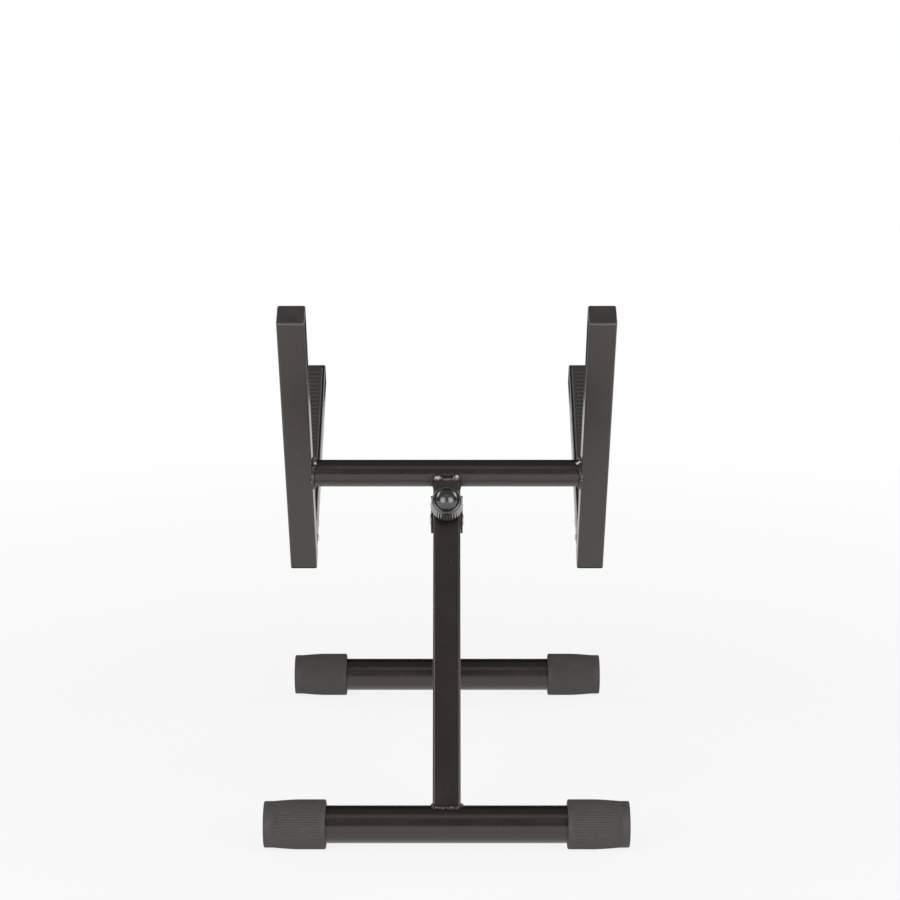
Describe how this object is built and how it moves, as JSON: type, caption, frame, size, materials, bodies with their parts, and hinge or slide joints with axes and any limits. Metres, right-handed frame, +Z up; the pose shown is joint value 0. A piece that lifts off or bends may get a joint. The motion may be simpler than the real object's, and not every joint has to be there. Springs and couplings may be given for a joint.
{
  "type": "folding amp stand",
  "caption": "Low folding tilt-back stand: leaning leg with a clamped folding front leg, crosswise tube feet with rubber caps, tilted cradle and fold-up padded shelf arms.",
  "frame": {"origin": "on the floor, below the middle of the open stand", "axes": "+Z up, +Y from the rear foot to the front foot, the way the shelf arms point, +X to the right for someone behind the stand"},
  "size_m": [0.33, 0.5228, 0.4854],
  "materials": {
    "frame_steel": "satin black powder coat",
    "cap_rubber": "ribbed matt black rubber",
    "pad_rubber": "matt black rubber",
    "plug_plastic": "moulded black plastic",
    "knob_plastic": "glossy black plastic",
    "plated_steel": "zinc plated",
    "bush_steel": "plain turned steel"
  },
  "bodies": {
    "rear_frame": {"rear_foot_tube": "frame_steel", "rear_left_foot_cap": "cap_rubber", "rear_right_foot_cap": "cap_rubber", "rear_leg": "frame_steel", "crossbar": "frame_steel", "left_upright": "frame_steel", "right_upright": "frame_steel", "left_upright_top_plug": "plug_plastic", "right_upright_top_plug": "plug_plastic", "left_upright_bottom_plug": "plug_plastic", "right_upright_bottom_plug": "plug_plastic", "hinge_bracket": "frame_steel", "leg_hinge_pin": "plated_steel", "clamp_boss": "frame_steel", "left_shelf_lug": "frame_steel", "right_shelf_lug": "frame_steel"},
    "front_leg_frame": {"front_leg": "frame_steel", "leg_hinge_bush": "bush_steel", "front_foot_tube": "frame_steel", "front_left_foot_cap": "cap_rubber", "front_right_foot_cap": "cap_rubber"},
    "lock_knob": {"knob_grip": "knob_plastic", "knob_cap": "knob_plastic", "clamp_screw": "plated_steel"},
    "left_shelf": {"left_shelf_arm": "frame_steel", "left_shelf_pad": "pad_rubber", "left_shelf_end_plug": "plug_plastic", "left_shelf_pin": "plated_steel", "left_shelf_stop_pin": "plated_steel"},
    "right_shelf": {"right_shelf_arm": "frame_steel", "right_shelf_pad": "pad_rubber", "right_shelf_end_plug": "plug_plastic", "right_shelf_pin": "plated_steel", "right_shelf_stop_pin": "plated_steel"}
  },
  "joints": [
    {"name": "front_leg_fold", "type": "hinge", "parent": "rear_frame", "child": "front_leg_frame", "pos_m": [0, -0.06676, 0.26533], "axis": [-1, 0, 0], "range_deg": [0, 80]},
    {"name": "left_shelf_fold", "type": "hinge", "parent": "rear_frame", "child": "left_shelf", "pos_m": [-0.1393, 0.01013, 0.24588], "axis": [1, 0, 0], "range_deg": [0, 90]},
    {"name": "right_shelf_fold", "type": "hinge", "parent": "rear_frame", "child": "right_shelf", "pos_m": [0.1393, 0.01013, 0.24588], "axis": [1, 0, 0], "range_deg": [0, 90]},
    {"name": "lock_knob_turn", "type": "hinge", "parent": "rear_frame", "child": "lock_knob", "pos_m": [0, -0.10175, 0.28553], "axis": [0, -0.866, 0.5], "continuous": true}
  ]
}
